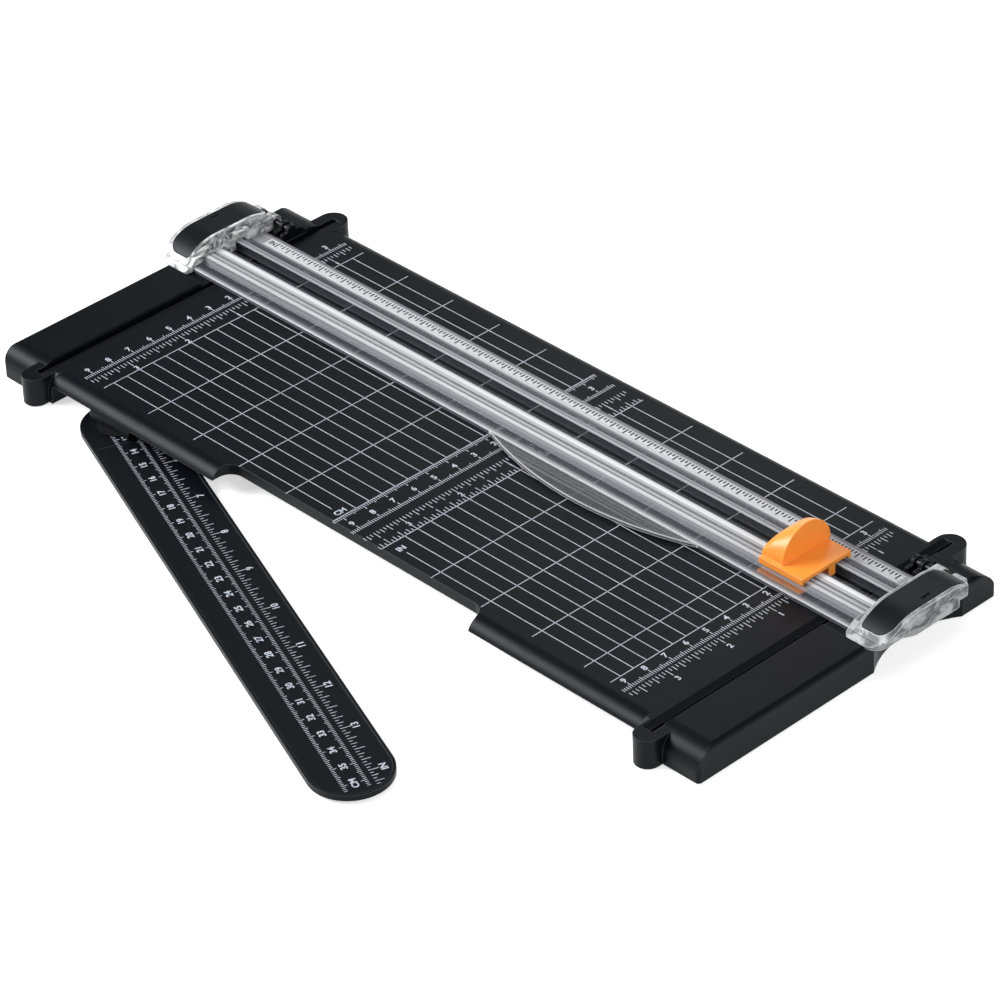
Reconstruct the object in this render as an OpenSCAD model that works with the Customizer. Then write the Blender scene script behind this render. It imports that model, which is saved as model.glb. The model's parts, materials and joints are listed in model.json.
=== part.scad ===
// Paper trimmer with a lift-up clear rail, a sliding blade carriage and a swing-out ruler arm.
// X runs along the cutting line, +Y to the back, +Z up. The origin lies on the desk under the
// cutting line, halfway along the base.

/* [Base] */
// Width of the base along the cutting line
base_w = 365.8; // [340:0.2:400]
// Distance from the cutting line to the front edge of the base
base_front = 103.2; // [98:0.2:120]
// Distance from the cutting line to the rear edge of the base
base_rear = 45.8; // [44:0.2:60]
// Height of the deck above the desk
deck_h = 12; // [11:0.1:16]
// Rise of the end ledges above the deck
ledge_rise = 1.2; // [0.6:0.1:2]
// Radius of the deck's rolled front and rear edges
roll_r = 7.2; // [6:0.1:8]
// Radius of the ledges' rolled front ends
ledge_front_r = 8.8; // [7:0.1:10]
// Radius of the ledges' rolled rear ends
ledge_rear_r = 12; // [8:0.1:12.4]
// Radius of the ledges' outer top edges
side_r = 2; // [1:0.1:3]
// Radius of the base's upright corners
corner_r = 1.6; // [1:0.1:4]
// Thickness of the deck plate
deck_t = 2.4; // [1.8:0.1:2.8]
// Thickness of the upright walls under the deck
wall_t = 2.2; // [1.6:0.1:2.6]
// Drop of the front skirt below the deck, which leaves the way out for the ruler arm
skirt_drop = 4.3; // [3.5:0.1:4.8]
// Width of each end ledge, from its outer side to its inner wall
ledge_w = 28.5; // [27:0.1:31]
// Height of the walls' lower edge above the desk
wall_lift = 0.5; // [0.3:0.1:0.8]

/* [Guide grooves and lugs] */
// Distance of each guide groove from its end of the base
groove_in = 21.7; // [20.4:0.1:22.5]
// Width of a guide groove
groove_w = 1.9; // [1.6:0.1:2.4]
// Depth of a guide groove
groove_d = 2.8; // [2:0.1:3.4]
// Width of the slope that leads from the deck down to a groove
groove_slope = 3; // [1:0.1:4]
// Front end of the guide grooves, measured from the cutting line
groove_front = 103.8; // [100:0.1:105]
// Radius of the round lugs at the grooves' front ends
lug_r = 5; // [4:0.1:5.4]
// Radius of the round lugs at the grooves' rear ends
lug_rear_r = 6; // [5:0.1:6.4]
// Distance by which a front lug's centre stands out beyond the edge of the base
lug_out = 2; // [1:0.1:3]

/* [Finger recess] */
// Width of the finger recess in the front edge
recess_w = 134.6; // [100:0.2:150]
// Offset of the recess from the middle of the base
recess_x = 4.1; // [-10:0.1:10]
// Depth of the finger recess
recess_d = 9.8; // [6:0.1:12]
// Corner radius of the finger recess
recess_r = 6; // [3:0.1:6]

/* [Ruler arm] */
// Width of the ruler arm
arm_w = 31; // [26:0.2:32]
// Thickness of the ruler arm
arm_t = 2.2; // [1.6:0.1:2.6]
// Distance between the centres of the arm's round ends
arm_len = 231; // [180:1:240]
// Height of the arm's underside above the desk
arm_lift = 1.6; // [1.5:0.1:2]
// Distance of the arm's pivot from the left end of the base
arm_pivot_in = 61.9; // [50:0.2:68]
// Distance of the arm's pivot in front of the cutting line
arm_pivot_y = 97.2; // [94:0.1:97.4]
// Angle of the arm to the cutting line, swung out to the front
arm_angle = 20.85; // [0:0.05:69]
// Radius of the pivot screw's shoulder
pivot_r = 3; // [2:0.1:4]

/* [Cutting strip and carriage blade] */
// How far the cutting strip stops short of the end housings
strip_short = 19; // [16:0.5:30]
// Width of the cutting strip
strip_w = 4.6; // [3.6:0.1:6]
// Thickness of the cutting strip
strip_t = 1.7; // [1.4:0.1:2]
// Width of the blade's channel in the strip
kerf_w = 1.2; // [1:0.1:1.6]
// Depth of the blade's channel below the deck
kerf_d = 1.1; // [1:0.1:1.3]
// Thickness of the blade
blade_t = 0.4; // [0.3:0.05:0.5]
// Depth of the blade's tip below the deck
blade_dip = 0.7; // [0.4:0.05:0.8]

/* [Rail] */
// How far the end housings reach in over each end of the base
rail_in = 10.9; // [10:0.1:13]
// Depth to which the rails are plugged into the housings
rail_plug = 3.5; // [2.5:0.1:4]
// Gap for paper between deck and rail
paper_gap = 0.35; // [0.3:0.05:0.5]
// Height of the rails' raised ribs above the deck
rib_top = 4.2; // [3.9:0.1:4.4]
// Height of the rails' low outer shelves above the deck
shelf_top = 2.1; // [2:0.05:2.3]
// Distance of the front rail's outer edge in front of the cutting line
rail_front = 17.2; // [16.5:0.1:19]
// Distance of the rear rail's outer edge behind the cutting line
rail_rear = 20.2; // [19.5:0.1:20.6]
// Slot side of the front rail, in front of the cutting line
slot_front = 0.8; // [0.7:0.05:1]
// Slot side of the rear rail, behind the cutting line
slot_rear = 5; // [4.8:0.05:5.4]
// Left end of the finger tab, from the middle of the base
tab_left = -6.9; // [-60:0.5:0]
// Length of the finger tab along the rail
tab_len = 106.5; // [80:0.5:120]
// Reach of the finger tab in front of the rail
tab_reach = 10; // [6:0.2:14]

/* [End housings and hinge] */
// How far the end housings stand out beyond the ends of the base
end_over = 6.6; // [4.5:0.1:9]
// Distance of the housings' front foot in front of the cutting line
end_front = 20.9; // [20:0.1:22]
// Distance of the housings' back behind the cutting line
end_rear = 25.2; // [24.8:0.1:25.6]
// Height of the housings' arched top above the deck
arch_top = 9.5; // [9:0.1:11]
// Radius at which the top falls away to the front and the back
arch_r = 22; // [20:0.5:26]
// Front end of the level stretch of the top, in front of the cutting line
arch_y0 = -2; // [-4:0.5:0]
// Rear end of the level stretch of the top, behind the cutting line
arch_y1 = 14; // [12:0.5:15]
// Thickness of the black covers
cover_t = 2; // [1.4:0.1:2.4]
// Wall of the clear housings
end_wall = 1.7; // [1.3:0.1:2]
// Depth of the hand scallop in each end of the base
scallop_d = 7; // [4:0.2:7]
// Radius of the hand scallops
scallop_r = 40; // [36:0.5:45]
// Distance of the hinge line behind the cutting line
hinge_y = 25.9; // [25.7:0.05:26.3]
// Height of the hinge line above the deck
hinge_h = 3.6; // [3.5:0.05:3.7]
// Radius of the hinge pins
pin_r = 1.5; // [1.2:0.05:1.6]
// Radius of the housings' hinge ears
ear_r = 2.8; // [2.6:0.05:2.9]

/* [Carriage] */
// Length of the carriage along the rail
car_len = 20.8; // [18:0.2:24]
// Distance of the carriage's middle from the right end housing, at rest
car_in = 37.5; // [14:0.5:172]
// Height of the carriage plate's top above the deck
plate_top = 6.2; // [6.1:0.05:6.6]
// Radius of the thumb fin
fin_r = 12.2; // [9:0.1:12.4]
// Running clearance between carriage and rails
run_gap = 0.3; // [0.2:0.05:0.35]

/* [Hidden] */
$fn = 64;
slack = 0.05;
cut = 1;
ledge_h = deck_h + ledge_rise;
deck_under = deck_h - deck_t;
ledge_inner = base_w / 2 - ledge_w;
groove_x = base_w / 2 - groove_in;
rail_half = base_w / 2 - rail_in;
end_out = base_w / 2 + end_over;
strip_half = rail_half - strip_short;
arm_pivot_x = base_w / 2 - arm_pivot_in;
car_x = rail_half - car_in;
pocket_r = roll_r - wall_t;
pocket_front_r = ledge_front_r - wall_t;
pocket_rear_r = 0.6 * ledge_rear_r;
pocket_side_r = 0.8;
ledge_edge_r = 0.9;
slope_d = 0.7;
lug_front_y = -base_front - lug_out;
lug_rear_y = base_rear;
groove_rear = base_rear + 1;
groove_out = groove_x + groove_w / 2;
// Depths of the cut in the ledges where the rail and its hinge cross them
notch_front = -end_front - run_gap;
bracket_y0 = hinge_y - 5.1;
bracket_y1 = hinge_y + 5.4;
notch_rear = bracket_y1 + 1.4;
bracket_in = groove_out + 0.4;
bracket_out = rail_half - 4.1;
bracket_h = 3.4;
window_in = bracket_in + 1.3;
window_out = bracket_out - 1.6;
bracket_screw_x = (bracket_in + bracket_out) / 2;
bracket_screw_y = bracket_y1 - 1.7;
screw_r = 1;
screw_head_r = 2;
screw_head_t = 1.2;
screw_seat = deck_under - 1.4;
// Underside of the base
foot_r = 5;
foot_t = 1.5;
foot_in = 13;
foot_rows = [-base_front + 15.2, base_rear - 9];
foot_spots = concat([for (x = [-1, 0, 1]) [x * base_w / 4, 0]],
                    [for (x = [-1, 1], y = foot_rows) [x * (base_w / 2 - foot_in), y]]);
arm_top = arm_lift + arm_t;
washer_t = 0.5;
washer_r = 9;
boss_under = arm_top + washer_t + 2 * slack;
boss_r = 12.4;
core_r = 5.4;
pivot_thread_r = 2.1;
pivot_head_r = 6.5;
pivot_head_t = 1;
arm_zone = arm_pivot_y - arm_w / 2 - 1.2;
rib_t = 1.6;
rib_lift = 2;
// Hinge
hinge_z = deck_h + hinge_h;
knuckle_r = ear_r - 0.4;
relief_r = ear_r;
ear_w = 4;
post_w = 3.6;
side_gap = 0.35;
ear_in = rail_half;
post_in = ear_in + ear_w + side_gap;
post_out = post_in + post_w;
post_root = 8;
ear_out = post_out + side_gap;
pin_in = bracket_in + 0.4;
pin_out = ear_out + ear_w;
// Rails and what plugs into them
plug_end = rail_half + rail_plug;
socket_top = rib_top + 0.7;
housing_lift = 0.3;
cavity_in = plug_end + 1.6;
// The housings' upper part stands proud of the lower part by the side and at the back
tier_z = 3.3;
tier_in = rail_half + 2.4;
tier_side = end_out - 2.2;
tier_back = hinge_y - ear_r - 2.1;
cover_in = rail_half + 3.7;
cover_out = end_out - 1.85;
cover_front = -arch_r + 5.7;
cover_rear = end_rear - 0.5;
cover_proud = 0.15;
cover_fit = 0.1;
scallop_y = 5.4;
rail_screw_spots = [[-(slot_front + 1.2), 2.85], [slot_rear + 2.2, 2.3]];
rail_screw_r = 0.8;
rail_screw_head_r = 1.7;
rail_screw_head_t = 1.2;
rail_screw_len = 8;
scale_y = rail_rear - 6.9;
scale_w = 4.8;
scale_t = 0.3;
scale_half = rail_half - 6.5;
// Carriage
car_half = car_len / 2;
plate_under = rib_top + 0.5;
plate_front = -12.3;
plate_back = 12.4;
wing_under = 0.5;
wing_top = 1.2;
wing_front = -(rail_front - 3.1) + 0.5;
rib_foot = wing_top + run_gap;
leg_y0 = 1;
leg_y1 = slot_rear - 0.6;
blade_y = -0.05;
holder_half = 5.6;
rivet_r = 0.75;
rivet_spots = [-2.8, 2.8];
rivet_z = 2.9;

// Corner k of a closed outline of [x, y, radius] points, as an arc of n + 1 points
function corner(p, k, n) =
    let (c = p[k], a = p[(k + len(p) - 1) % len(p)], b = p[(k + 1) % len(p)],
         u = [a[0] - c[0], a[1] - c[1]] / norm([a[0] - c[0], a[1] - c[1]]),
         v = [b[0] - c[0], b[1] - c[1]] / norm([b[0] - c[0], b[1] - c[1]]),
         half = acos(u * v) / 2, t = c[2] / tan(half),
         m = (u + v) / norm(u + v), o = [c[0], c[1]] + m * c[2] / sin(half),
         p0 = [c[0], c[1]] + u * t - o, p1 = [c[0], c[1]] + v * t - o,
         a0 = atan2(p0[1], p0[0]), d = atan2(p1[1], p1[0]) - a0,
         s = d > 180 ? d - 360 : d < -180 ? d + 360 : d)
    [for (i = [0:n]) o + c[2] * [cos(a0 + s * i / n), sin(a0 + s * i / n)]];
function rounded(p, n = 6) = [for (k = [0:len(p) - 1]) each corner(p, k, n)];

// A shape drawn in (Y, Z), run along X from x0 to x1
module along_x(x0, x1) {
    translate([x0, 0, 0]) rotate([90, 0, 90]) linear_extrude(x1 - x0) children();
}

// A shape drawn in (X, Z), run along Y from y0 to y1
module along_y(y0, y1) {
    translate([0, y1, 0]) rotate([90, 0, 0]) linear_extrude(y1 - y0) children();
}

// A box between two opposite corners
module block(a, b) {
    translate(a) cube(b - a);
}

// Both sides of the trimmer: the shape is drawn for the right-hand end
module both_ends() {
    children();
    mirror([1, 0, 0]) children();
}

// Section from a to b across and from low to top, its upper corners of radius ra and rb
module rolled_section(a, b, low, top, ra, rb) {
    intersection() {
        union() {
            translate([a + ra, 0]) square([b - a - ra - rb, top]);
            translate([a, 0]) square([(b - a) / 2, top - ra]);
            translate([(a + b) / 2, 0]) square([(b - a) / 2, top - rb]);
            translate([a + ra, top - ra]) circle(ra);
            translate([b - rb, top - rb]) circle(rb);
        }
        translate([a - cut, low]) square([b - a + 2 * cut, top]);
    }
}

module deck_body() {
    along_x(-groove_x, groove_x)
        rolled_section(-base_front, base_rear, wall_lift, deck_h, roll_r, roll_r);
}

// Plan of the right-hand ledge, its outer corners rounded
module ledge_plan() {
    half = base_w / 2;
    translate([0, corner_r - base_front]) square([half, base_front + base_rear - 2 * corner_r]);
    translate([0, -base_front]) square([half - corner_r, base_front + base_rear]);
    for (y = [corner_r - base_front, base_rear - corner_r])
        translate([half - corner_r, y]) circle(corner_r);
}

// Room under the front of the deck in which the ruler arm swings
module arm_bay() {
    difference() {
        block([-ledge_inner, -base_front - cut, -cut],
              [ledge_inner, -arm_zone, deck_h - skirt_drop]);
        translate([-arm_pivot_x, -arm_pivot_y, boss_under]) cylinder(h = deck_h, r = boss_r);
    }
}

module ledge_body() {
    intersection() {
        along_x(ledge_inner, base_w / 2 + cut)
            rolled_section(-base_front, base_rear, wall_lift, ledge_h, ledge_front_r,
                           ledge_rear_r);
        along_y(-base_front - cut, base_rear + cut) {
            translate([ledge_inner, 0]) square([base_w / 2 - ledge_inner - side_r, deck_h]);
            rolled_section(groove_out, base_w / 2, wall_lift, ledge_h, ledge_edge_r, side_r);
        }
        linear_extrude(2 * deck_h) ledge_plan();
        union() {
            block([ledge_inner, -base_front - cut, 0], [base_w, base_rear + cut, deck_h]);
            block([groove_x, -base_front - cut, 0], [base_w, notch_front, ledge_h + cut]);
            block([groove_x, notch_rear, 0], [base_w, base_rear + cut, ledge_h + cut]);
        }
    }
}

// Round lug of radius r at one end of a groove, joined to the base over a length inward
module lug(y, inward, r) {
    translate([groove_x, y, wall_lift]) cylinder(h = deck_h - wall_lift, r = r);
    block([groove_x - r, min(y, y + inward), wall_lift],
          [groove_x + r, max(y, y + inward), deck_h]);
}

// Finger recess, grown outward by g
module recess(g) {
    r = recess_r + g;
    x0 = recess_x - recess_w / 2 - g;
    x1 = recess_x + recess_w / 2 + g;
    back = -base_front + recess_d + g;
    translate([0, 0, -cut]) linear_extrude(deck_h + 2 * cut) {
        translate([x0, -2 * base_front]) square([x1 - x0, 2 * base_front + back - r]);
        translate([x0 + r, -2 * base_front]) square([x1 - x0 - 2 * r, 2 * base_front + back]);
        translate([x0 + r, back - r]) circle(r);
        translate([x1 - r, back - r]) circle(r);
    }
}

// Hand scallop in one end of the base, its radius grown by g
module scallop(g) {
    translate([base_w / 2 - scallop_d + scallop_r, scallop_y, -cut])
        cylinder(h = 2 * deck_h, r = scallop_r + g, $fn = 192);
}

// Hollow under the deck and under one ledge
module deck_pocket() {
    along_x(-ledge_inner, ledge_inner)
        rolled_section(-base_front + wall_t, base_rear - wall_t, -cut, deck_under, pocket_r,
                       pocket_r);
}

module ledge_pocket() {
    intersection() {
        along_x(ledge_inner + wall_t, base_w / 2 - wall_t)
            rolled_section(-base_front + wall_t, base_rear - wall_t, -cut, deck_under,
                           pocket_front_r, pocket_rear_r);
        along_y(-base_front, base_rear)
            rolled_section(ledge_inner, base_w / 2 - wall_t, -cut, deck_under, pocket_side_r,
                           pocket_side_r);
    }
}

// Solid plastic left standing in the hollows: ribs, spine, troughs and bosses
module underside_ribs() {
    for (y = [-arm_zone + 1.2, -0.55 * arm_zone, -0.27 * arm_zone, 0.47 * base_rear])
        block([-base_w / 2, y - rib_t / 2, rib_lift], [base_w / 2, y + rib_t / 2, deck_h]);
    for (k = [-2:2]) translate([k * base_w / 6.1, 0, 0])
        block([-rib_t / 2, -arm_zone + 1.2, rib_lift], [rib_t / 2, base_rear, deck_h]);
    block([-base_w / 2, -strip_w / 2 - wall_t, rib_lift],
          [base_w / 2, strip_w / 2 + wall_t, deck_h]);
    both_ends() {
        block([groove_x - groove_w / 2 - 1.6, -base_front, deck_h - groove_d - 1.6],
              [groove_x + groove_w / 2 + 1.6, base_rear, deck_h]);
        translate([bracket_screw_x, bracket_screw_y, screw_seat]) cylinder(h = 3, r = 3);
    }
    for (p = foot_spots)
        translate([p[0], p[1], wall_lift]) cylinder(h = deck_h, r = foot_r + 1.5);
    translate([-arm_pivot_x, -arm_pivot_y, boss_under]) {
        difference() {
            cylinder(h = deck_h, r = boss_r);
            translate([0, 0, 1.6]) cylinder(h = deck_h, r = boss_r - 2);
        }
        cylinder(h = deck_h, r = core_r);
    }
}

module guide_grooves() {
    wall = groove_x - groove_w / 2;
    both_ends() {
        block([wall, -groove_front, deck_h - groove_d], [groove_out, groove_rear, ledge_h + cut]);
        along_y(-groove_front, groove_rear)
            polygon([[wall - groove_slope, deck_h], [wall + slack, deck_h - slope_d],
                     [wall + slack, deck_h + cut], [wall - groove_slope, deck_h + cut]]);
    }
}

module strip_slot() {
    block([-strip_half - slack, -strip_w / 2 - slack, deck_h - strip_t - slack],
          [strip_half + slack, strip_w / 2 + slack, deck_h + cut]);
    block([-rail_half + 3, -kerf_w / 2, deck_h - kerf_d],
          [rail_half - 3, kerf_w / 2, deck_h + cut]);
}

// Post on each ledge that carries the hinge pin between the housing's two ears
module hinge_post() {
    along_x(post_in, post_out) {
        translate([hinge_y, hinge_z]) circle(knuckle_r);
        translate([hinge_y - knuckle_r, deck_h - post_root])
            square([2 * knuckle_r, hinge_h + post_root]);
    }
}

module pin_bore(r, x0 = 0) {
    translate([x0, hinge_y, hinge_z]) rotate([0, 90, 0]) cylinder(h = base_w, r = r);
}

module base_moulding() {
    color("#232326") difference() {
        union() {
            difference() {
                union() {
                    deck_body();
                    both_ends() {
                        ledge_body();
                        lug(lug_front_y, lug_out + roll_r, lug_r);
                        lug(lug_rear_y, -roll_r, lug_rear_r);
                    }
                }
                difference() {
                    union() {
                        deck_pocket();
                        both_ends() ledge_pocket();
                    }
                    recess(wall_t);
                    both_ends() scallop(wall_t);
                    underside_ribs();
                }
                recess(0);
                both_ends() scallop(0);
                arm_bay();
            }
            both_ends() hinge_post();
        }
        guide_grooves();
        strip_slot();
        both_ends() {
            pin_bore(pin_r + slack);
            translate([bracket_screw_x, bracket_screw_y, -cut]) {
                cylinder(h = deck_h + 2 * cut, r = screw_r + slack);
                cylinder(h = screw_seat + cut, r = screw_head_r + 0.5);
            }
        }
        for (p = foot_spots)
            translate([p[0], p[1], -cut]) cylinder(h = foot_t + cut, r = foot_r + slack);
        translate([-arm_pivot_x, -arm_pivot_y, 0])
            cylinder(h = deck_under, r = pivot_thread_r + slack);
    }
}

module cutting_strip() {
    color("#19191b") difference() {
        block([-strip_half, -strip_w / 2, deck_h - strip_t], [strip_half, strip_w / 2, deck_h]);
        block([-strip_half - cut, -kerf_w / 2, deck_h - kerf_d],
              [strip_half + cut, kerf_w / 2, deck_h + cut]);
    }
}

module rubber_feet() {
    color("#2e2e30") for (p = foot_spots)
        translate([p[0], p[1], 0]) cylinder(h = foot_t, r = foot_r);
}

module ruler_arm() {
    color("#26272b") translate([-arm_pivot_x, -arm_pivot_y, arm_lift])
        rotate([0, 0, -arm_angle]) difference() {
            union() {
                cylinder(h = arm_t, r = arm_w / 2, $fn = 96);
                translate([arm_len, 0, 0]) cylinder(h = arm_t, r = arm_w / 2, $fn = 96);
                block([0, -arm_w / 2, 0], [arm_len, arm_w / 2, arm_t]);
            }
            translate([0, 0, -cut]) cylinder(h = arm_t + 2 * cut, r = pivot_r + slack);
            // Shallow panel that carries the scale, inside a raised edge
            translate([0, 0, arm_t - 0.2]) {
                block([pivot_head_r + 6, -arm_w / 2 + 1.2, 0], [arm_len, arm_w / 2 - 1.2, cut]);
                translate([arm_len, 0, 0]) cylinder(h = cut, r = arm_w / 2 - 1.2, $fn = 96);
            }
        }
}

module arm_pivot_screw() {
    color("silver") translate([-arm_pivot_x, -arm_pivot_y, 0]) difference() {
        union() {
            translate([0, 0, arm_lift - slack - pivot_head_t])
                cylinder(h = pivot_head_t, r = pivot_head_r);
            translate([0, 0, arm_lift - slack])
                cylinder(h = boss_under - arm_lift, r = pivot_r);
            translate([0, 0, boss_under - slack]) cylinder(h = 4, r = pivot_thread_r);
        }
        for (a = [0, 90]) rotate([0, 0, a])
            block([-2.4, -0.5, 0], [2.4, 0.5, arm_lift - slack - 0.4]);
    }
}

module arm_washer() {
    color("#19191b") translate([-arm_pivot_x, -arm_pivot_y, arm_top + slack]) difference() {
        cylinder(h = washer_t, r = washer_r);
        translate([0, 0, -cut]) cylinder(h = 3, r = pivot_r + slack);
    }
}

module hinge_bracket() {
    color("#1c1c1e") difference() {
        union() {
            block([bracket_in, bracket_y0, deck_h],
                  [bracket_out, bracket_y1, deck_h + bracket_h]);
            along_x(bracket_in, bracket_out)
                translate([hinge_y, hinge_z]) circle(knuckle_r);
        }
        // Window in which the pin shows
        block([window_in, bracket_y0 - cut, deck_h + 1.2],
              [window_out, hinge_y + knuckle_r - 0.4, deck_h + 2 * knuckle_r + hinge_h]);
        pin_bore(pin_r + slack, pin_in - slack);
        translate([bracket_screw_x, bracket_screw_y, deck_h - cut])
            cylinder(h = bracket_h + cut - 0.6, r = screw_r + slack);
    }
}

module bracket_screws() {
    color("silver") both_ends() translate([bracket_screw_x, bracket_screw_y, screw_seat]) {
        difference() {
            translate([0, 0, -screw_head_t]) cylinder(h = screw_head_t, r = screw_head_r);
            for (a = [0, 90]) rotate([0, 0, a])
                block([-1.2, -0.3, -screw_head_t - cut], [1.2, 0.3, -screw_head_t / 2]);
        }
        cylinder(h = deck_h - screw_seat + bracket_h - 0.8, r = screw_r);
    }
}

module hinge_pin() {
    color("#242426") translate([pin_in, hinge_y, hinge_z]) rotate([0, 90, 0])
        cylinder(h = pin_out - pin_in, r = pin_r);
}

// Rail sections in (Y, Z above the deck), grown by g where they make a socket
module front_section(g = 0) {
    offset_low = paper_gap - g;
    difference() {
        polygon([[-rail_front - g, offset_low], [-rail_front - g, shelf_top - 0.4 + g],
                 [-rail_front + 0.4, shelf_top + g], [plate_front + 0.1 - g, shelf_top + g],
                 [plate_front + 1.7 - g, rib_top + g], [-slot_front + g, rib_top + g],
                 [-slot_front + g, rib_foot - g], [-slot_front - 2.4, rib_foot - g],
                 [-slot_front - 2.4, rib_top - 1.2], [plate_front + 1.9, rib_top - 1.2],
                 [plate_front + 0.8, rib_foot], [-rail_front + 3.1, rib_foot],
                 [-rail_front + 3.1, offset_low]]);
        if (g == 0) for (y = [-10.4, -8.3, -6.3])
            translate([y, rib_top]) rotate(45) square(0.3, center = true);
    }
}

module rear_section(g = 0) {
    offset_low = paper_gap - g;
    polygon([[slot_rear - g, offset_low], [slot_rear - g, rib_top + g],
             [slot_rear + 4.4 + g, rib_top + g], [slot_rear + 5.8 + g, shelf_top + g],
             [rail_rear - 0.4, shelf_top + g], [rail_rear + g, shelf_top - 0.4 + g],
             [rail_rear + g, offset_low], [rail_rear - 2.2, offset_low],
             [rail_rear - 2.2, 1.2], [slot_rear + 3.2, 1.2], [slot_rear + 3.2, offset_low]]);
}

// Holes for the screws that draw the rails into the housings
module rail_screw_holes(r) {
    for (p = rail_screw_spots)
        translate([cavity_in - rail_screw_len, p[0], deck_h + p[1]]) rotate([0, 90, 0])
            cylinder(h = rail_screw_len + cut, r = r, $fn = 32);
}

module front_rail() {
    color("#dfe6ea", 0.6) difference() {
        translate([0, 0, deck_h]) along_x(-plug_end, plug_end) front_section();
        both_ends() rail_screw_holes(rail_screw_r + slack);
    }
}

module rear_rail() {
    color("#dfe6ea", 0.6) difference() {
        translate([0, 0, deck_h]) along_x(-plug_end, plug_end) rear_section();
        block([-scale_half - slack, scale_y - slack, deck_h + shelf_top - scale_t],
              [scale_half + slack, scale_y + scale_w + slack, deck_h + shelf_top + cut]);
        both_ends() rail_screw_holes(rail_screw_r + slack);
    }
}

module scale_strip() {
    color("#eceef0") block([-scale_half, scale_y, deck_h + shelf_top - scale_t],
                           [scale_half, scale_y + scale_w, deck_h + shelf_top]);
}

// Bow-fronted tab in plan: an arc over a straight back edge, drawn in by i
module tab_plan(i) {
    half = tab_len / 2 - 2 * i;
    reach = tab_reach - i;
    r = (half * half + reach * reach) / (2 * reach);
    intersection() {
        translate([tab_left + tab_len / 2, -rail_front + r - reach]) circle(r, $fn = 240);
        translate([tab_left, -rail_front - tab_reach - cut])
            square([tab_len, tab_reach + cut - i * 0.6]);
    }
}

module finger_tab() {
    color("#dfe6ea", 0.6) translate([0, 0, deck_h]) difference() {
        translate([0, 0, paper_gap + 0.15]) linear_extrude(shelf_top - paper_gap - 0.35)
            tab_plan(0);
        linear_extrude(shelf_top - 0.9) tab_plan(1.2);
    }
}

// Everything under an end housing's arched top, in (Y, Z above the deck)
module arch(top) {
    for (y = [arch_y0, arch_y1]) translate([y, top - arch_r]) circle(arch_r, $fn = 192);
    translate([arch_y0, top - arch_r]) square([arch_y1 - arch_y0, arch_r]);
}

// The arch with the foot that reaches out at the front
module end_side() {
    arch(arch_top);
    polygon([[-end_front, 0], [-end_front, 1], [1.9 - end_front, 2.5], [0, 2.5], [0, 0]]);
}

// Plans of the housing's upper and lower parts, drawn in by i
function upper_outline(i) = rounded([
    [tier_in + i, -end_front + i, 3 - i], [end_out - i, -end_front + i, 8.5 - i],
    [end_out - i, end_rear - i, 3 - i], [tier_in + i, end_rear - i, 4.5 - i]]);
function lower_outline(i) = rounded([
    [rail_half + i, -end_front + i, 2.2 - i], [tier_side - i, -end_front + i, 5.5 - i],
    [tier_side - i, -8, 4], [end_out - i, -3.5, 4], [end_out - i, tier_back - i, 3 - i],
    [rail_half + i, tier_back - i, 2.2 - i]]);
function cover_outline(g) = rounded([
    [cover_in - g, cover_front - g, 1.2 + g], [cover_out + g, cover_front - g, 5 + g],
    [cover_out + g, cover_rear + g, 2 + g], [cover_in - g, cover_rear + g, 4.5 + g]]);

// The part of an arched body that lies over a plan, from height z0 to z1 above the deck
module arched(z0, z1, plan) {
    intersection() {
        translate([0, 0, deck_h]) along_x(rail_half - cut, end_out + cut) children();
        translate([0, 0, deck_h + z0]) linear_extrude(z1 - z0) polygon(plan);
    }
}

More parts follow.
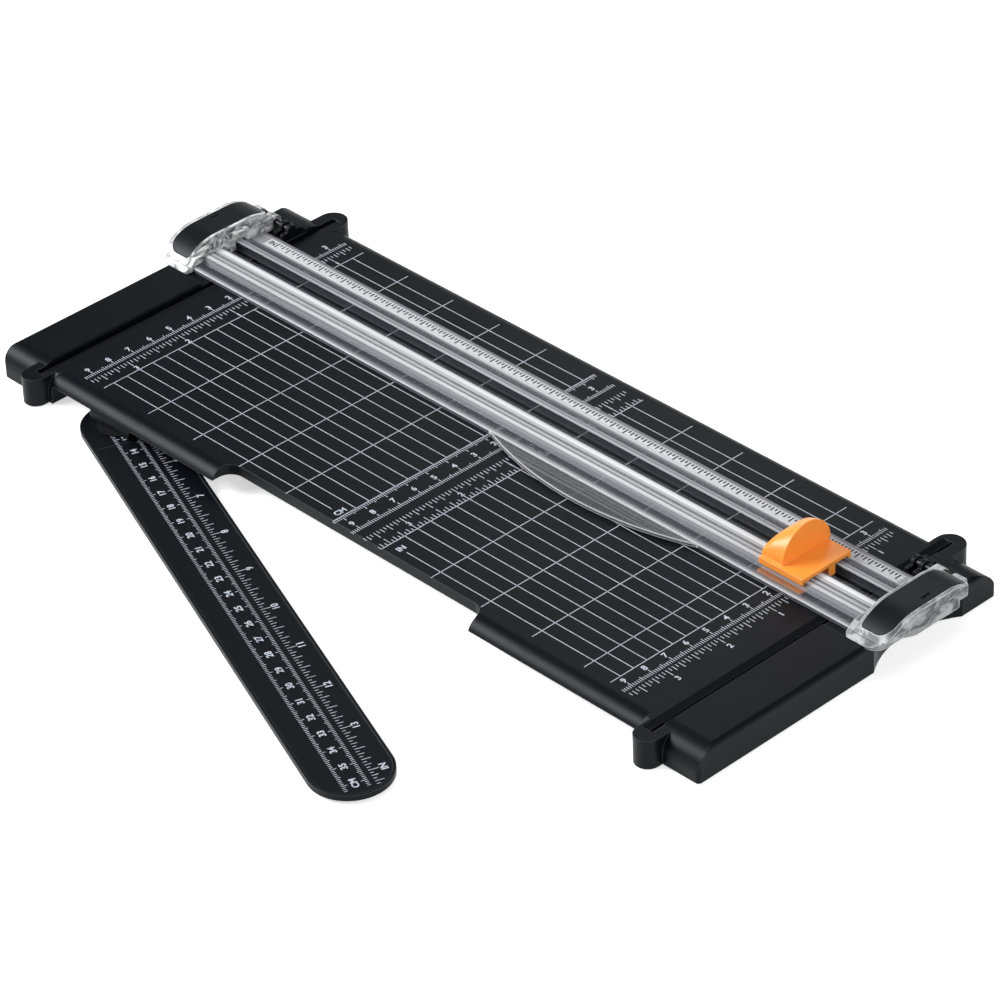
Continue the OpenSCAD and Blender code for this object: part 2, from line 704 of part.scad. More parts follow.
module end_housing() {
    room_top = arch_top - cover_t - 1.3;
    color("#dfe6ea", 0.6) difference() {
        union() {
            arched(housing_lift, tier_z + cut, lower_outline(0)) end_side();
            arched(tier_z, 2 * deck_h, upper_outline(0)) arch(arch_top);
            arched(housing_lift, socket_top, lower_outline(0)) arch(arch_top);
            for (x = [ear_in, ear_out]) along_x(x, x + ear_w) {
                translate([hinge_y, hinge_z]) circle(ear_r);
                translate([tier_back - cut, hinge_z - ear_r])
                    square([hinge_y - tier_back + cut, 2 * ear_r]);
            }
            // Ribs on the inner wall, over the sockets
            for (y = [-7.5:2.4:6]) block([tier_in - 1.2, y, deck_h + socket_top - cut],
                                         [tier_in + cut, y + 0.8, deck_h + arch_top - 2.6]);
            translate([tier_in - 1.3, 16.5, deck_h + 4.6]) rotate([0, 90, 0])
                cylinder(h = 1.3 + cut, r = 2.2);
        }
        // Seat for the black cover
        intersection() {
            translate([0, 0, deck_h]) linear_extrude(2 * deck_h) polygon(cover_outline(cover_fit));
            difference() {
                block([rail_half, -2 * end_front, deck_h], [end_out, 2 * end_rear, 3 * deck_h]);
                translate([0, 0, deck_h]) along_x(rail_half - cut, end_out + cut)
                    arch(arch_top - cover_t);
            }
        }
        // Hollow inside, open below, with grip ribs left standing at the front
        difference() {
            intersection() {
                union() {
                    arched(-cut, socket_top, lower_outline(end_wall)) arch(room_top);
                    arched(tier_z + end_wall, 2 * deck_h, upper_outline(end_wall)) arch(room_top);
                }
                block([cavity_in, -end_front, 0], [end_out, tier_back - 1.4, 2 * deck_h]);
            }
            for (x = [cavity_in + 0.6:1.3:tier_side - 2])
                block([x, -end_front, deck_h], [x + 0.6, 3.4 - end_front, 2 * deck_h]);
        }
        // Room for the post round the hinge line
        along_x(post_in - side_gap, post_out + side_gap) {
            translate([hinge_y, hinge_z]) circle(relief_r);
            translate([hinge_y - relief_r, deck_h - cut]) square([end_rear, hinge_h + cut]);
        }
        // Sockets for the two rails and holes for their screws
        translate([0, 0, deck_h]) along_x(rail_half - cut, plug_end + slack) {
            front_section(slack);
            rear_section(slack);
        }
        rail_screw_holes(rail_screw_r + 2 * slack);
        pin_bore(pin_r + slack);
    }
}

module end_cover() {
    color("#1d1d1f") difference() {
        arched(0, 2 * deck_h, cover_outline(0)) arch(arch_top + cover_proud);
        translate([0, 0, deck_h]) along_x(rail_half, end_out) arch(arch_top - cover_t);
        block([end_out - 5, 4.1, deck_h + arch_top - 0.5], [end_out - 4, 8.7, 2 * deck_h]);
        along_x(post_in - side_gap, post_out + side_gap)
            translate([hinge_y, hinge_z]) circle(relief_r);
    }
}

module rail_screws() {
    color("silver") both_ends() for (p = rail_screw_spots)
        translate([cavity_in, p[0], deck_h + p[1]]) rotate([0, 90, 0]) {
            difference() {
                cylinder(h = rail_screw_head_t, r = rail_screw_head_r);
                for (a = [0, 90]) rotate([0, 0, a])
                    block([-1.1, -0.25, 0.6], [1.1, 0.25, 2]);
            }
            translate([0, 0, -rail_screw_len + 0.3])
                cylinder(h = rail_screw_len, r = rail_screw_r, $fn = 32);
        }
}

// Thumb fin: arches that swell from the plate's left edge up to the fin's ridge. Each slice has
// its share of the way to the ridge, its share of the height, and how square its arch is.
module thumb_fin() {
    yc = 1.5;
    ridge = -0.8;
    dish_r = 60;
    slices = [[0, 0.36, 3], [0.08, 0.46, 3], [0.35, 0.69, 2.6], [0.69, 0.87, 2.2], [1, 1, 2]];
    function arch_point(a, h, q) = [
        yc - fin_r * sign(cos(a)) * pow(abs(cos(a)), 2 / q), plate_top + h * pow(sin(a), 2 / q)];
    module slice(s) {
        x = -car_half + s[0] * (car_half + ridge);
        along_x(x, x + 0.4) polygon(concat(
            [[yc + fin_r, plate_top - 0.3], [yc - fin_r, plate_top - 0.3]],
            [for (a = [0:6:180]) arch_point(a, s[1] * fin_r, s[2])]));
    }
    difference() {
        for (k = [0:3]) hull() {
            slice(slices[k]);
            slice(slices[k + 1]);
        }
        // Shallow dish in the fin's upright face
        translate([ridge + 0.4 + dish_r, yc, 0])
            cylinder(h = 4 * fin_r, r = dish_r + 0.1, $fn = 200);
    }
}

module carriage_cap() {
    color("#ff8a25") translate([car_x, 0, deck_h]) difference() {
        union() {
            block([-car_half, plate_front, plate_under], [car_half, plate_back, plate_top]);
            block([-car_half, plate_front, rib_top + run_gap - slack],
                  [car_half, plate_front + 3.6, plate_top]);
            block([-car_half, plate_front, shelf_top + 1.6],
                  [car_half, plate_front + 1, plate_top]);
            block([-car_half, plate_back - 1.4, shelf_top + 1.4],
                  [car_half, plate_back, plate_top]);
            thumb_fin();
        }
        for (x = [-7.6, 7.6]) translate([x, (leg_y0 + leg_y1) / 2, plate_under - cut])
            cylinder(h = cut + 0.9, r = 1 + slack, $fn = 32);
    }
}

module carriage_runner() {
    color("#f47a1c") translate([car_x, 0, deck_h]) difference() {
        union() {
            block([-car_half, wing_front, wing_under], [car_half, leg_y1, wing_top]);
            block([-car_half, leg_y0, wing_under], [car_half, leg_y1, plate_under]);
            block([-holder_half, blade_y + blade_t / 2, wing_under],
                  [holder_half, leg_y0 + cut, plate_under]);
            for (x = [-7.6, 7.6]) translate([x, (leg_y0 + leg_y1) / 2, plate_under - cut])
                cylinder(h = cut + 0.8, r = 1, $fn = 32);
        }
        block([-holder_half - 0.4, -slot_front - cut, wing_under - cut],
              [holder_half + 0.4, blade_y + blade_t / 2, wing_top + cut]);
        for (x = rivet_spots) translate([x, -cut, rivet_z]) rotate([-90, 0, 0])
            cylinder(h = cut + leg_y0 + 1.5, r = rivet_r + slack, $fn = 32);
    }
}

module blade() {
    color("#c9ccd0") translate([car_x, 0, deck_h]) difference() {
        along_y(blade_y - blade_t / 2, blade_y + blade_t / 2) polygon([
            [-5.2, 4.3], [5.2, 4.3], [5.2, 1.6], [1.2, -blade_dip], [-1.2, -blade_dip],
            [-5.2, 1.6]]);
        for (x = rivet_spots) translate([x, -cut, rivet_z]) rotate([-90, 0, 0])
            cylinder(h = 2 * cut, r = rivet_r + slack, $fn = 32);
    }
}

module blade_rivets() {
    head_t = 0.22;
    face = blade_y - blade_t / 2;
    color("silver") translate([car_x, 0, deck_h]) for (x = rivet_spots)
        translate([x, face, rivet_z]) rotate([-90, 0, 0]) {
            translate([0, 0, -head_t]) cylinder(h = head_t, r = 1.2, $fn = 32);
            cylinder(h = leg_y0 + 1.3 - face, r = rivet_r, $fn = 32);
        }
}

base_moulding();
cutting_strip();
rubber_feet();
ruler_arm();
arm_pivot_screw();
arm_washer();
mirror([1, 0, 0]) hinge_bracket();  // hinge_bracket_left
hinge_bracket();  // hinge_bracket_right
bracket_screws();
mirror([1, 0, 0]) hinge_pin();  // hinge_pin_left
hinge_pin();  // hinge_pin_right
front_rail();
rear_rail();
finger_tab();
scale_strip();
mirror([1, 0, 0]) end_housing();  // end_housing_left
end_housing();  // end_housing_right
mirror([1, 0, 0]) end_cover();  // end_cover_left
end_cover();  // end_cover_right
rail_screws();
carriage_cap();
carriage_runner();
blade();
blade_rivets();
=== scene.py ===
"""Looks of the paper trimmer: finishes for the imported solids, and the printed rulers."""
import json
import math

import bpy
from mathutils import Matrix, Vector


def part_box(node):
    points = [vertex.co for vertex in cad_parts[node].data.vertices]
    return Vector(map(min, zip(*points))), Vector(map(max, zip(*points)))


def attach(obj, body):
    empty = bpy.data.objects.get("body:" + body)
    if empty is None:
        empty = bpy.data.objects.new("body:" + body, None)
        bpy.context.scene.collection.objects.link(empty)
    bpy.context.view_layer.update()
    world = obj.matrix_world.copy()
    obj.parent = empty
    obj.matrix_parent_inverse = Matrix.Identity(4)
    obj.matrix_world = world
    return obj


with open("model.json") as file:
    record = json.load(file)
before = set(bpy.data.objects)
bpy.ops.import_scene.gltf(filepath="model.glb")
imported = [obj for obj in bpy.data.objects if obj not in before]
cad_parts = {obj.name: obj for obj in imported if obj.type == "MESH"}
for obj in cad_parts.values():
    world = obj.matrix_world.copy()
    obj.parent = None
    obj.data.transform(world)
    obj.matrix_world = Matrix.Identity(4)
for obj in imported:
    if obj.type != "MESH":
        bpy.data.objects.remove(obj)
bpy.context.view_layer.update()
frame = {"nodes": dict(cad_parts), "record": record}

# The printed rulers are laid out in millimetres; all else is in metres.
MM = 0.001
INCH = 25.4
scene = bpy.context.scene
parts = frame["nodes"]


# Shader helpers

def rgb(r, g, b):
    return (r, g, b, 1.0)


def new_group(name, inputs, outputs):
    """A shader node group with named sockets. inputs: (name, type, default)."""
    tree = bpy.data.node_groups.new(name, "ShaderNodeTree")
    for label, kind, value in inputs:
        socket = tree.interface.new_socket(label, in_out="INPUT", socket_type="NodeSocket" + kind)
        socket.default_value = value
    for label, kind in outputs:
        tree.interface.new_socket(label, in_out="OUTPUT", socket_type="NodeSocket" + kind)
    return tree, tree.nodes.new("NodeGroupInput"), tree.nodes.new("NodeGroupOutput")


def feed(tree, socket, value):
    """Links a socket to an input, or sets the input to a plain value."""
    if isinstance(value, bpy.types.NodeSocket):
        tree.links.new(value, socket)
    else:
        socket.default_value = value


def node(tree, kind, links=None, **values):
    """A node with its settings, and its inputs linked or set."""
    made = tree.nodes.new("ShaderNode" + kind)
    for key, value in values.items():
        setattr(made, key, value)
    for key, value in (links or {}).items():
        feed(tree, made.inputs[key], value)
    return made


def math_node(tree, operation, a, b=0.0, clamp=False):
    return node(tree, "Math", {0: a, 1: b}, operation=operation, use_clamp=clamp).outputs[0]


def remap(tree, value, low, high, to_low, to_high):
    return node(tree, "MapRange", {"Value": value, "From Min": low, "From Max": high,
                                   "To Min": to_low, "To Max": to_high}).outputs["Result"]


def noise(tree, place, scale, detail, **values):
    """A noise, with other inputs by their names."""
    inputs = {"Vector": place, "Scale": scale, "Detail": detail}
    inputs.update(values)
    return node(tree, "TexNoise", inputs).outputs["Fac"]


def scaled_colour(tree, colour, gain):
    made = node(tree, "VectorMath", {0: colour, "Scale": gain}, operation="SCALE")
    return made.outputs[0]


def mix_colour(tree, factor, a, b):
    """Colour a where the factor is 0, b where it is 1; 6 and 7 are the node's colour inputs."""
    made = node(tree, "Mix", {0: factor, 6: a, 7: b}, data_type="RGBA", blend_type="MIX")
    return made.outputs[2]


def ramp(tree, value, stops):
    """A curve through (place, height) stops, from 0 to 1 in both."""
    made = node(tree, "ValToRGB", {"Fac": value})
    steps = made.color_ramp.elements
    while len(steps) < len(stops):
        steps.new(0.5)
    for step, (place, height) in zip(steps, stops):
        step.position = place
        step.color = rgb(height, height, height)
    return made.outputs["Color"]


# Effects shared by several finishes

EDGE_SAMPLES = 6


def make_moulded_grain():
    """Fine spark-eroded grain of a moulding, with slow changes of tone and gloss."""
    tree, given, out = new_group("moulded_grain", [
        ("Grain Scale", "Float", 2600.0), ("Colour", "Color", rgb(0.02, 0.02, 0.02)),
        ("Tone Shift", "Float", 0.15), ("Roughness", "Float", 0.5),
        ("Gloss Shift", "Float", 0.1)],
        [("Colour", "Color"), ("Roughness", "Float"), ("Height", "Float")])
    place = node(tree, "TexCoord").outputs["Object"]
    grain = noise(tree, place, given.outputs["Grain Scale"], 2.0, Roughness=0.6)
    slow = noise(tree, place, 14.0, 4.0, Roughness=0.55)
    tone = remap(tree, slow, 0.3, 0.7, -0.5, 0.5)
    gain = math_node(tree, "MULTIPLY", tone, given.outputs["Tone Shift"])
    gain = math_node(tree, "ADD", gain, 1.0)
    gain = math_node(tree, "MULTIPLY", gain, remap(tree, grain, 0.35, 0.7, 0.9, 1.12))
    gloss = math_node(tree, "MULTIPLY", tone, given.outputs["Gloss Shift"])
    rough = math_node(tree, "ADD", given.outputs["Roughness"], gloss, clamp=True)
    feed(tree, out.inputs["Colour"], scaled_colour(tree, given.outputs["Colour"], gain))
    feed(tree, out.inputs["Roughness"], rough)
    feed(tree, out.inputs["Height"], grain)
    return tree


def make_handling_marks():
    """Hairline scratches and smears of use, as a mask."""
    tree, given, out = new_group("handling_marks", [
        ("Scratch Amount", "Float", 0.5), ("Smear Amount", "Float", 0.5)],
        [("Mask", "Float")])
    place = node(tree, "TexCoord").outputs["Object"]
    hairlines = []
    for turn, squeeze in ((0.35, (40.0, 900.0, 60.0)), (1.9, (30.0, 1100.0, 60.0))):
        lay = node(tree, "Mapping", {"Vector": place, "Rotation": (0.0, 0.0, turn),
                                     "Scale": squeeze}).outputs[0]
        hairlines.append(remap(tree, noise(tree, lay, 1.0, 1.0), 0.66, 0.72, 0.0, 1.0))
    scratch = math_node(tree, "MAXIMUM", hairlines[0], hairlines[1])
    scratch = math_node(tree, "MULTIPLY", scratch, given.outputs["Scratch Amount"])
    smear = remap(tree, noise(tree, place, 45.0, 3.0, Distortion=0.8), 0.5, 0.72, 0.0, 1.0)
    smear = math_node(tree, "MULTIPLY", smear, given.outputs["Smear Amount"])
    feed(tree, out.inputs["Mask"], math_node(tree, "ADD", scratch, smear, clamp=True))
    return tree


def make_edge_mask():
    """Where a solid turns a corner: its rounded normal leaves its flat one."""
    tree, given, out = new_group("edge_mask", [("Width", "Float", 0.0005)],
                                 [("Mask", "Float")])
    soft = node(tree, "Bevel", {"Radius": given.outputs["Width"]}, samples=EDGE_SAMPLES)
    flat = node(tree, "NewGeometry").outputs["Normal"]
    dot = node(tree, "VectorMath", {0: soft.outputs[0], 1: flat}, operation="DOT_PRODUCT")
    feed(tree, out.inputs["Mask"], remap(tree, dot.outputs["Value"], 0.98, 0.8, 0.0, 1.0))
    return tree


def make_drawn_lines():
    """Lines left by drawing, turning or grinding a metal, along X."""
    tree, given, out = new_group("drawn_lines", [
        ("Line Scale", "Float", 900.0), ("Colour", "Color", rgb(0.6, 0.6, 0.6)),
        ("Roughness", "Float", 0.3)],
        [("Colour", "Color"), ("Roughness", "Float"), ("Height", "Float")])
    place = node(tree, "TexCoord").outputs["Object"]
    lay = node(tree, "Mapping", {"Vector": place, "Scale": (0.04, 1.0, 1.0)}).outputs[0]
    lines = noise(tree, lay, given.outputs["Line Scale"], 3.0)
    stain = noise(tree, place, 160.0, 3.0)
    gain = math_node(tree, "MULTIPLY", remap(tree, lines, 0.3, 0.7, 0.85, 1.1),
                     remap(tree, stain, 0.35, 0.7, 1.05, 0.85))
    rough = math_node(tree, "MULTIPLY", given.outputs["Roughness"],
                      remap(tree, lines, 0.3, 0.7, 0.8, 1.3), clamp=True)
    feed(tree, out.inputs["Colour"], scaled_colour(tree, given.outputs["Colour"], gain))
    feed(tree, out.inputs["Roughness"], rough)
    feed(tree, out.inputs["Height"], lines)
    return tree


def make_pulled_streaks():
    """Straight streaks along X, left where clear plastic or film was drawn or polished."""
    tree, given, out = new_group("pulled_streaks", [("Streak Scale", "Float", 900.0)],
                                 [("Mask", "Float"), ("Height", "Float")])
    place = node(tree, "TexCoord").outputs["Object"]
    lay = node(tree, "Mapping", {"Vector": place, "Scale": (0.006, 1.0, 1.0)}).outputs[0]
    fine = noise(tree, lay, given.outputs["Streak Scale"], 2.0)
    broad = noise(tree, lay, math_node(tree, "MULTIPLY", given.outputs["Streak Scale"], 0.22), 1.0)
    both = math_node(tree, "ADD", math_node(tree, "MULTIPLY", fine, 0.6),
                     math_node(tree, "MULTIPLY", broad, 0.4))
    feed(tree, out.inputs["Mask"], remap(tree, both, 0.36, 0.64, 0.0, 1.0))
    feed(tree, out.inputs["Height"], fine)
    return tree


moulded_grain = make_moulded_grain()
handling_marks = make_handling_marks()
edge_mask = make_edge_mask()
drawn_lines = make_drawn_lines()
pulled_streaks = make_pulled_streaks()


# Helpers of the finishes

def effect(tree, group, values):
    """A shared effect in a material, with its inputs set."""
    made = tree.nodes.new("ShaderNodeGroup")
    made.node_tree = group
    for key, value in values.items():
        made.inputs[key].default_value = value
    return made


def blank_material(name, **values):
    """A material with one Principled shader; values set its plain sockets."""
    material = bpy.data.materials.new(name)
    material.use_nodes = True
    tree = material.node_tree
    shader = tree.nodes["Principled BSDF"]
    for key, value in values.items():
        shader.inputs[key.replace("_", " ")].default_value = value
    return material, tree, shader


def bump(tree, shader, height, depth, corner=0.0):
    """A bump of that depth in metres, on corners rounded to that radius."""
    made = node(tree, "Bump", {"Height": height, "Strength": 1.0, "Distance": depth})
    if corner:
        soft = node(tree, "Bevel", {"Radius": corner}, samples=EDGE_SAMPLES)
        feed(tree, made.inputs["Normal"], soft.outputs[0])
    feed(tree, shader.inputs["Normal"], made.outputs[0])


# Plastics, rubber and metals

def moulded_plastic(name, colour, rough, tone, gloss, grain, depth, corner, wear_and_edge_highlight, marks,
                    marked_rough, **values):
    """A plastic or rubber moulding: grain, a painted highlight along its edges and marks of
    handling.

    tone and gloss are how far both drift over the piece, grain and depth the scale and
    height of its texture, the edge colour a lighter colour painted along its edges as a
    highlight, and marks the amounts of scratches and smears."""
    material, tree, shader = blank_material(name, **values)
    skin = effect(tree, moulded_grain, {"Grain Scale": grain, "Colour": rgb(*colour),
                                        "Tone Shift": tone, "Roughness": rough,
                                        "Gloss Shift": gloss})
    edges = effect(tree, edge_mask, {"Width": corner * 2.0})
    use = effect(tree, handling_marks, {"Scratch Amount": marks[0], "Smear Amount": marks[1]})
    # Painted highlight: the edges take the lighter edge colour.
    colour = mix_colour(tree, edges.outputs["Mask"], skin.outputs["Colour"], rgb(*wear_and_edge_highlight))
    feed(tree, shader.inputs["Base Color"], colour)
    rubbed = math_node(tree, "MULTIPLY", use.outputs["Mask"], marked_rough)
    rubbed = math_node(tree, "ADD", skin.outputs["Roughness"], rubbed, clamp=True)
    feed(tree, shader.inputs["Roughness"], rubbed)
    bump(tree, shader, skin.outputs["Height"], depth, corner)
    return material


def drawn_metal(name, colour, rough, scale, corner):
    material, tree, shader = blank_material(name, Metallic=1.0)
    skin = effect(tree, drawn_lines, {"Line Scale": scale, "Colour": rgb(*colour),
                                      "Roughness": rough})
    feed(tree, shader.inputs["Base Color"], skin.outputs["Colour"])
    feed(tree, shader.inputs["Roughness"], skin.outputs["Roughness"])
    bump(tree, shader, skin.outputs["Height"], 4e-6, corner)
    return material


def make_scale_film():
    """White printed film of the rail's scale, drawn and a little uneven."""
    material, tree, shader = blank_material("scale_film")
    skin = effect(tree, moulded_grain, {"Grain Scale": 1500.0, "Colour": rgb(0.42, 0.43, 0.45),
                                        "Tone Shift": 0.12, "Roughness": 0.42,
                                        "Gloss Shift": 0.1})
    streaks = effect(tree, pulled_streaks, {"Streak Scale": 1300.0}).outputs["Mask"]
    colour = mix_colour(tree, streaks, skin.outputs["Colour"], rgb(0.60, 0.61, 0.63))
    feed(tree, shader.inputs["Base Color"], colour)
    feed(tree, shader.inputs["Roughness"], skin.outputs["Roughness"])
    bump(tree, shader, skin.outputs["Height"], 4e-6, 1e-4)
    return material


def printed_ink(name, colour, thin):
    """Screen-printed ink, thinner in places so that the plastic shows through."""
    material, tree, shader = blank_material(name)
    place = node(tree, "TexCoord").outputs["Object"]
    cover = noise(tree, place, 900.0, 3.0)
    wear_and_edge_highlight = noise(tree, place, 35.0, 4.0)
    both = math_node(tree, "MULTIPLY", remap(tree, cover, 0.3, 0.6, 0.0, 1.0),
                     remap(tree, wear_and_edge_highlight, 0.3, 0.62, 0.55, 1.0))
    feed(tree, shader.inputs["Base Color"], mix_colour(tree, both, rgb(*thin), rgb(*colour)))
    feed(tree, shader.inputs["Roughness"], remap(tree, cover, 0.3, 0.7, 0.45, 0.6))
    bump(tree, shader, cover, 3e-6)
    return material


COOL_TINT = rgb(0.9, 0.95, 1.0)
# Each moulding's edge colour, lighter than its own colour, is a painted highlight along its edges.
finishes = {
    "black_plastic": moulded_plastic(
        "black_plastic", colour=(0.0028, 0.0033, 0.0052), rough=0.4, tone=0.25, gloss=0.06,
        grain=2400.0, depth=1.1e-5, corner=4e-4, wear_and_edge_highlight=(0.045, 0.046, 0.05),
        marks=(0.25, 0.3), marked_rough=0.1,
        Specular_IOR_Level=0.12, Specular_Tint=COOL_TINT),
    "strip_plastic": moulded_plastic(
        "strip_plastic", colour=(0.008, 0.008, 0.009), rough=0.5, tone=0.2, gloss=0.1,
        grain=1800.0, depth=8e-6, corner=2e-4, wear_and_edge_highlight=(0.012, 0.012, 0.013),
        marks=(0.8, 0.3), marked_rough=0.15,
        Specular_IOR_Level=0.1),
    "foot_rubber": moulded_plastic(
        "foot_rubber", colour=(0.03, 0.03, 0.032), rough=0.8, tone=0.3, gloss=0.1,
        grain=1500.0, depth=2e-5, corner=5e-4, wear_and_edge_highlight=(0.05, 0.05, 0.05),
        marks=(0.1, 0.5), marked_rough=0.1,
        Specular_IOR_Level=0.2),
    "gloss_black": moulded_plastic(
        "gloss_black", colour=(0.005, 0.0055, 0.007), rough=0.37, tone=0.1, gloss=0.05,
        grain=2600.0, depth=3e-6, corner=4e-4, wear_and_edge_highlight=(0.02, 0.02, 0.021),
        marks=(0.35, 0.4), marked_rough=0.14,
        Specular_IOR_Level=0.17, Specular_Tint=COOL_TINT),
    "orange_plastic": moulded_plastic(
        "orange_plastic", colour=(1.0, 0.325, 0.045), rough=0.36, tone=0.06, gloss=0.05,
        grain=2200.0, depth=4e-6, corner=5e-4, wear_and_edge_highlight=(1.0, 0.37, 0.07),
        marks=(0.25, 0.3), marked_rough=0.12,
        Subsurface_Weight=0.12, Subsurface_Scale=0.002, Subsurface_Radius=(1.0, 0.35, 0.1)),
    "zinc_steel": drawn_metal(
        "zinc_steel", colour=(0.62, 0.62, 0.6), rough=0.32, scale=500.0, corner=2e-4),
    "pin_steel": drawn_metal(
        "pin_steel", colour=(0.03, 0.03, 0.032), rough=0.35, scale=900.0, corner=2e-4),
    "blade_steel": drawn_metal(
        "blade_steel", colour=(0.55, 0.56, 0.58), rough=0.22, scale=1400.0, corner=1e-4),
    "scale_film": make_scale_film(),
}
white_ink = printed_ink("white_ink", colour=(0.54, 0.58, 0.65), thin=(0.31, 0.34, 0.4))
black_ink = printed_ink("black_ink", colour=(0.004, 0.004, 0.005), thin=(0.012, 0.012, 0.013))


# Clear plastic

# White of the painted highlights and reflections on the clear plastic, and of its faint streaks.
HIGHLIGHT_MILK_WHITE = (0.71, 0.715, 0.73)

# Painted highlights across each rail, as (Y in millimetres, whiteness), along its ribs and grooves.
FRONT_HIGHLIGHT_BANDS = [
    (-17.6, 0.5), (-17.0, 0.5), (-16.4, 0.33), (-15.2, 0.13), (-14.4, 0.07), (-12.8, 0.06),
    (-12.2, 0.14), (-11.0, 0.19), (-10.5, 0.15), (-10.1, 0.7), (-9.6, 0.9), (-9.0, 0.65),
    (-8.6, 0.1), (-8.2, 0.1), (-7.8, 0.68), (-7.1, 0.62), (-6.6, 0.07), (-6.1, 0.06),
    (-5.6, 0.52), (-4.6, 0.62), (-4.0, 1.0), (-3.0, 1.0), (-2.5, 0.78), (-2.1, 0.27),
    (-1.7, 0.03), (-0.8, 0.0)]
REAR_HIGHLIGHT_BANDS = [
    (5.0, 0.0), (5.3, 0.5), (5.8, 0.52), (6.2, 0.36), (6.5, 0.2), (6.9, 0.3), (7.6, 0.3),
    (8.0, 0.1), (8.4, 0.07), (11.4, 0.11), (12.2, 0.18), (13.2, 0.38), (18.0, 0.4),
    (18.5, 0.27), (19.6, 0.17), (20.2, 0.06)]


def upward(tree):
    """1 on faces that look up from the piece, 0.3 on its walls and undersides."""
    facing = node(tree, "TexCoord").outputs["Normal"]
    return remap(tree, node(tree, "SeparateXYZ", {0: facing}).outputs["Z"], 0.2, 0.5, 0.3, 1.0)


def across_rail(bands):
    """Painted highlights of a rail: its bands, broken up by streaks, and fainter on its walls."""
    low = bands[0][0]
    high = bands[-1][0]
    stops = [((y - low) / (high - low), white) for y, white in bands]

    def cloud(tree):
        place = node(tree, "TexCoord").outputs["Object"]
        across = node(tree, "SeparateXYZ", {0: place}).outputs["Y"]
        band = ramp(tree, remap(tree, across, low * MM, high * MM, 0.0, 1.0), stops)
        streaks = effect(tree, pulled_streaks, {"Streak Scale": 1500.0}).outputs["Mask"]
        streaks = remap(tree, streaks, 0.0, 1.0, 0.72, 1.12)
        band = math_node(tree, "MULTIPLY", band, streaks, clamp=True)
        return math_node(tree, "MULTIPLY", band, upward(tree))
    return cloud


def streaked(tree):
    """Cloud of the finger tab: faint straight streaks."""
    streaks = effect(tree, pulled_streaks, {"Streak Scale": 1100.0}).outputs["Mask"]
    return remap(tree, streaks, 0.3, 1.0, 0.0, 0.14)


def blotched(scale, most):
    """Painted light of an end housing: bright blotches for its ribs and walls refracting and
    reflecting light.
    """
    def cloud(tree):
        place = node(tree, "TexCoord").outputs["Object"]
        lay = node(tree, "Mapping", {"Vector": place, "Scale": (1.0, 0.55, 1.0)}).outputs[0]
        return remap(tree, noise(tree, lay, scale, 2.0, Distortion=0.9), 0.4, 0.64, 0.03, most)
    return cloud


def clear_moulding(name, clear, veil, highlight_rim, rough, cloud):
    """Clear plastic: a thin veil where it is clear, solid and white where highlights and
    reflections are painted on.

    clear is the veil's colour, veil how much it covers and rough the roughness of clear and
    of whitened places. The last argument gives the mask of painted highlights and streaks;
    edges get a painted highlight to the width given before rough. Faces seen from inside the
    plastic add little, so one looks through."""
    material, tree, shader = blank_material(name, IOR=1.49, Specular_IOR_Level=0.18)
    use = effect(tree, handling_marks, {"Scratch Amount": 0.1, "Smear Amount": 0.1})
    edges = effect(tree, edge_mask, {"Width": highlight_rim})
    # Painted highlights: the masked places and the edges are whitened.
    highlight_and_milk_mask = math_node(tree, "MAXIMUM", cloud(tree), edges.outputs["Mask"])
    feed(tree, shader.inputs["Base Color"], mix_colour(tree, highlight_and_milk_mask, rgb(*clear), rgb(*HIGHLIGHT_MILK_WHITE)))
    inside = node(tree, "NewGeometry").outputs["Backfacing"]
    solid = math_node(tree, "MULTIPLY", remap(tree, highlight_and_milk_mask, 0.0, 0.25, veil, 1.0),
                      remap(tree, inside, 0.0, 1.0, 1.0, 0.1), clamp=True)
    feed(tree, shader.inputs["Alpha"], solid)
    gloss = math_node(tree, "ADD", remap(tree, highlight_and_milk_mask, 0.0, 1.0, rough[0], rough[1]),
                      math_node(tree, "MULTIPLY", use.outputs["Mask"], 0.3), clamp=True)
    feed(tree, shader.inputs["Roughness"], gloss)
    streaks = effect(tree, pulled_streaks, {"Streak Scale": 1200.0})
    bump(tree, shader, streaks.outputs["Height"], 2e-6, 2e-4)
    return material


# The rim of each finish is the width of the painted highlight along its edges; the tab's is wide.
clear_finishes = {
    "front_rail": clear_moulding(
        "front_rail_clear", clear=(0.045, 0.05, 0.07), veil=0.3, highlight_rim=2e-4,
        rough=(0.22, 0.25), cloud=across_rail(FRONT_HIGHLIGHT_BANDS)),
    "rear_rail": clear_moulding(
        "rear_rail_clear", clear=(0.045, 0.05, 0.07), veil=0.3, highlight_rim=2e-4,
        rough=(0.22, 0.25), cloud=across_rail(REAR_HIGHLIGHT_BANDS)),
    "finger_tab": clear_moulding(
        "tab_clear", clear=(0.047, 0.05, 0.058), veil=0.74, highlight_rim=1.3e-3,
        rough=(0.2, 0.25), cloud=streaked),
    # Lit and shaded copies: the left housing is painted whiter and the right one darker, for how
    # each is lit.
    "end_housing_left": clear_moulding(
        "left_housing_clear_lit", clear=(0.13, 0.132, 0.137), veil=0.6, highlight_rim=6e-4,
        rough=(0.15, 0.2), cloud=blotched(300.0, 1.1)),
    "end_housing_right": clear_moulding(
        "right_housing_clear_shaded", clear=(0.12, 0.122, 0.13), veil=0.7, highlight_rim=6e-4,
        rough=(0.2, 0.25), cloud=blotched(240.0, 0.5)),
}

for part in frame["record"]["subparts"]:
    mesh = parts[part["node"]].data
    mesh.materials.clear()
    if part["material_slot"] == "clear_plastic":
        mesh.materials.append(clear_finishes[part["node"]])
    else:
        mesh.materials.append(finishes[part["material_slot"]])


# Printing

INK_LIFT = 0.03
glyphs = {}


